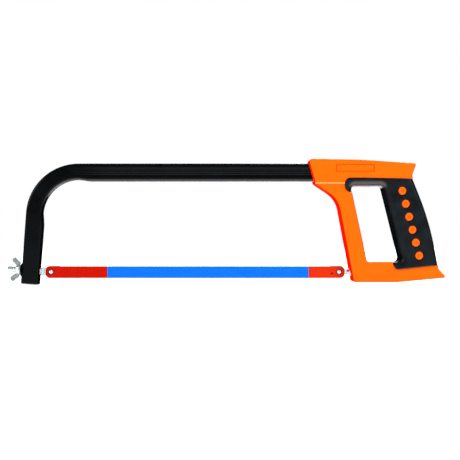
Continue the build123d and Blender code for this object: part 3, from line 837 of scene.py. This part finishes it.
TOOTH_PITCH = 1.4
TOOTH_DEPTH = 0.6
BLADE_LENGTH = 300.0  # between its holes
TOOTHLESS = 18.0
BLADE_HALF = 0.325
SET_FOOT = 3.9  # where the set of the teeth starts, above the blade's middle
BLADE_END = 5.7
BLADE_CORNER = 4.6
WAVE = 6.25
hole_front = np.array([front_x + BLADE_PIN_OFFSET, blade_z])
hole_rear = np.array([rear_x - BLADE_PIN_OFFSET, blade_z])


def blade_outline():
    """Side outline of the blade, toothed along its upper edge."""
    top, root = blade_z + BLADE_WIDTH / 2, blade_z + BLADE_WIDTH / 2 - TOOTH_DEPTH
    count = int((BLADE_LENGTH - TOOTHLESS) / TOOTH_PITCH)
    start = (hole_front[0] + hole_rear[0]) / 2 - count * TOOTH_PITCH / 2
    half, r = BLADE_WIDTH / 2, BLADE_CORNER
    corner = [(BLADE_END - r + r * sin(a), -half + r - r * cos(a)) for a in np.linspace(0, pi / 2, 13)]
    end = np.array(corner + [(x, -z) for x, z in corner[::-1]])
    points = [hole_front + [-x, z] for x, z in end]
    for i in range(count):
        x = start + i * TOOTH_PITCH
        points += [np.array([x, top]), np.array([x + 0.25 * TOOTH_PITCH, root + 0.04]),
                   np.array([x + 0.38 * TOOTH_PITCH, root]),
                   np.array([x + 0.55 * TOOTH_PITCH, root + 0.06])]
    points.append(np.array([start + count * TOOTH_PITCH, top]))
    points += [hole_rear + [x, -z] for x, z in end]
    return np.array(points)


def blade_height(points):
    """Half thickness of the blade, with a punched dimple near its rear end."""
    height = np.full(len(points), BLADE_HALF)
    height -= 0.12 * (1 - ramp(distance(blade_loop, points), 0.0, 0.12)) * (points[:, 1] < blade_z + 5.0)
    reach = np.linalg.norm(points - dimple, axis=1)
    return height - 0.22 * (1 - ramp(reach, 0.45, 0.85))


def blade_set(points):
    """Bends the teeth to one side and the other in a slow wave."""
    rise = ramp(points[:, 2], blade_z + SET_FOOT, blade_z + BLADE_WIDTH / 2)
    points[:, 1] += 0.28 * rise * np.sin(2 * pi * (points[:, 0] - hole_front[0]) / WAVE)
    return points


blade_loop = blade_outline()
blade_holes = [circle(hole_front, 2.1), circle(hole_rear, 2.1)]
blade_rings = [circle(dimple, r, 24) for r in (0.45, 0.6, 0.72, 0.85)]
set_lines = [np.column_stack([np.linspace(hole_front[0], hole_rear[0], 400), np.full(400, blade_z + z)])
             for z in (SET_FOOT, 4.35, 4.8)]
blade = moulded("blade_painted", [blade_loop, inset(blade_loop, 0.12), *blade_holes, *blade_rings],
                lambda p: contains(blade_loop, p) & ~contains(blade_holes[0], p)
                & ~contains(blade_holes[1], p),
                blade_height, 3.0, None, (-1, 1), set_lines, blade_set)
finished(blade, "blade_red_blue", "blade", ("blade",))


# ---- Tension stud's thread, wing nut and pins ---------------------------------------------------

NUT_SEAT, NUT_TOP, STUD_END = 31.6, 35.8, 44.3
THREAD = 3.08
PITCH = 1.0
NUT_TURN = radians(12.0)
WING_LEAN = radians(44.0)
WING_REACH, WING_HALF, WING_ROUND = 5.5, 2.9, 0.55
wing_up = cos(NUT_TURN) * limb_up + sin(NUT_TURN) * axis_y
wing_face = cos(NUT_TURN) * axis_y - sin(NUT_TURN) * limb_up


def thread_crests():
    """Thread crests on the end of the stud, past the nut."""
    profile = [(NUT_TOP + 1.2, 2.6)]
    for i in range(int((STUD_END - NUT_TOP - 2.2) / PITCH)):
        start = NUT_TOP + 1.2 + i * PITCH
        profile += [(start, THREAD - 0.3), (start + 0.4, THREAD), (start + 0.6, THREAD),
                    (start + 0.95, THREAD - 0.3)]
    profile.append((profile[-1][0], 2.6))
    return turned("stud_thread", profile, stud_origin, stud_out, 48, 25)


def wing(label, side):
    """One wing of the nut: a flat rounded plate that leans away from the stud."""
    along = np.array([cos(WING_LEAN), sin(WING_LEAN)])
    across = np.array([-sin(WING_LEAN), cos(WING_LEAN)])
    middle = np.array([NUT_SEAT + WING_REACH * along[0] + 0.5, 4.0 + WING_REACH * along[1]])
    tip_near = middle + WING_REACH * along - WING_HALF * across
    tip_far = middle + WING_REACH * along + WING_HALF * across
    outline = rounded([((NUT_SEAT + 0.15, 3.2), 0.2), ((35.45, 3.2), 1.5), (tip_near, 1.8), (tip_far, 1.8),
                       ((NUT_SEAT + 0.15, 7.69), 0.8)], longest=0.5)

    def place(points):
        u, w, v = points.T
        return (stud_origin + u[:, None] * stud_out + side * v[:, None] * wing_up + w[:, None] * wing_face)

    def thickness(points):
        swell = 0.25 * ramp((points - middle) @ along, 2.0, 5.0)
        return 0.4 + swell + quarter(distance(outline, points), WING_ROUND)

    return moulded(label, [outline] + edge_rings(outline, WING_ROUND, 4), lambda p: contains(outline, p),
                   thickness, 0.8, None, (-1, 1), (), place)


nut_profile = [(NUT_SEAT, 3.12), (NUT_SEAT, 5.2), (NUT_SEAT + 0.3, 5.5), (NUT_SEAT + 1.4, 5.5),
               (NUT_SEAT + 1.8, 5.25), (NUT_SEAT + 2.3, 4.75), (NUT_SEAT + 3.4, 4.6), (NUT_TOP - 0.3, 4.5),
               (NUT_TOP, 4.1), (NUT_TOP, 3.4), (NUT_TOP - 0.3, 3.12)]
nut = joined("wing_nut_cast", turned("nut_hub", nut_profile, stud_origin, stud_out, 64, 40),
             wing("wing_upper", 1), wing("wing_lower", -1))
finished(nut, "zinc", "nut", ("wing_nut",))
finished(thread_crests(), "zinc", "stud")

PIN_RADIUS = 1.55
PIN_HEAD = 1.825
PIN_DOME = 0.62
PIN_FOOT = BLADE_HALF + 0.08 + 2.4
rear_pin_origin = np.array([rear_x, 0, blade_z])
for label, place, body in (("front", stud_origin, "stud"), ("rear", rear_pin_origin, "frame")):
    dome = [(PIN_HEAD - PIN_DOME * (1 - cos(a)), PIN_RADIUS * sin(a)) for a in np.linspace(0, pi / 2, 9)]
    profile = dome + [(-PIN_FOOT + 0.2, PIN_RADIUS), (-PIN_FOOT, PIN_RADIUS - 0.2), (-PIN_FOOT, 0.0)]
    pin = turned(f"pin_{label}", profile, place, -axis_y, 40, 40)
    finished(pin, "steel_pin", body, (f"{label}_blade_pin",))


# ---- Stage, light and camera --------------------------------------------------------------------

def plain(name, colour, rough):
    look = Look(name, Roughness=rough, Specular_IOR_Level=0.1)
    look.colour(look.mixed(look.noise(3, 2), colour, tuple(c * 0.98 for c in colour)))
    look.shader.inputs["Emission Color"].default_value = (1, 1, 1, 1)
    look.shader.inputs["Emission Strength"].default_value = 0.68
    return look.material


def floor():
    """Wide pale floor that the saw stands on."""
    reach, count = 4000.0, 8
    ticks = np.linspace(-reach, reach, count)
    points = [(x, y, 0.0) for y in ticks for x in ticks]
    faces = [(j * count + i, j * count + i + 1, (j + 1) * count + i + 1, (j + 1) * count + i)
             for j in range(count - 1) for i in range(count - 1)]
    obj = mesh_object("floor", points, faces)
    obj.data.materials.append(plain("floor", (0.80, 0.80, 0.80), 0.8))


floor()

world = bpy.data.worlds.new("studio")
bpy.context.scene.world = world
world.use_nodes = True
nodes, links = world.node_tree.nodes, world.node_tree.links
seen, lit = nodes["Background"], nodes.new("ShaderNodeBackground")
seen.inputs["Color"].default_value = (1, 1, 1, 1)
seen.inputs["Strength"].default_value = 1.0
lit.inputs["Color"].default_value = (0.93, 0.95, 1.0, 1)
path, mix = nodes.new("ShaderNodeLightPath"), nodes.new("ShaderNodeMixShader")
# The studio is dark beyond the saw, so that bright metal shows its outline against the white.
around, split, dim = (nodes.new("ShaderNode" + kind) for kind in ("TexCoord", "SeparateXYZ", "MapRange"))
for socket, number in zip(("From Min", "From Max", "To Min", "To Max"), (0.1, 0.8, 0.5, 0.03)):
    dim.inputs[socket].default_value = number
links.new(around.outputs["Generated"], split.inputs[0])
links.new(split.outputs["Y"], dim.inputs["Value"])
links.new(dim.outputs["Result"], lit.inputs["Strength"])
links.new(path.outputs["Is Camera Ray"], mix.inputs["Fac"])
links.new(lit.outputs[0], mix.inputs[1])
links.new(seen.outputs[0], mix.inputs[2])
links.new(mix.outputs[0], nodes["World Output"].inputs["Surface"])


def lamp(name, place, target, size, power, colour=(1, 1, 1)):
    """Square softbox at a place, facing a target."""
    data = bpy.data.lights.new(name, "AREA")
    data.shape, data.size, data.energy, data.color = "SQUARE", size, power, colour
    obj = bpy.data.objects.new(name, data)
    obj.location = place
    obj.rotation_euler = (Vector(target) - Vector(place)).to_track_quat("-Z", "Y").to_euler()
    bpy.context.scene.collection.objects.link(obj)


lamp("key", (1.25, -1.1, 1.3), (0, 0, 0.06), 0.9, 50)
lamp("fill", (-1.8, -0.8, 0.8), (0, 0, 0.06), 0.9, 28)
lamp("back", (0.6, 1.6, 1.2), (0, 0, 0.06), 1.0, 40)

camera = bpy.data.cameras.new("camera")
camera.lens = 18.0 / tan(radians(28.3 / 2))
camera.sensor_width = 36.0
view = bpy.data.objects.new("camera", camera)
view.location = ((rear_x + front_x) / 2 * MM + 0.0364, -0.950, blade_z * MM + 0.0437)
view.rotation_euler = (radians(90), 0, 0)
bpy.context.scene.collection.objects.link(view)
bpy.context.scene.camera = view
bpy.context.scene.view_settings.view_transform = "Standard"
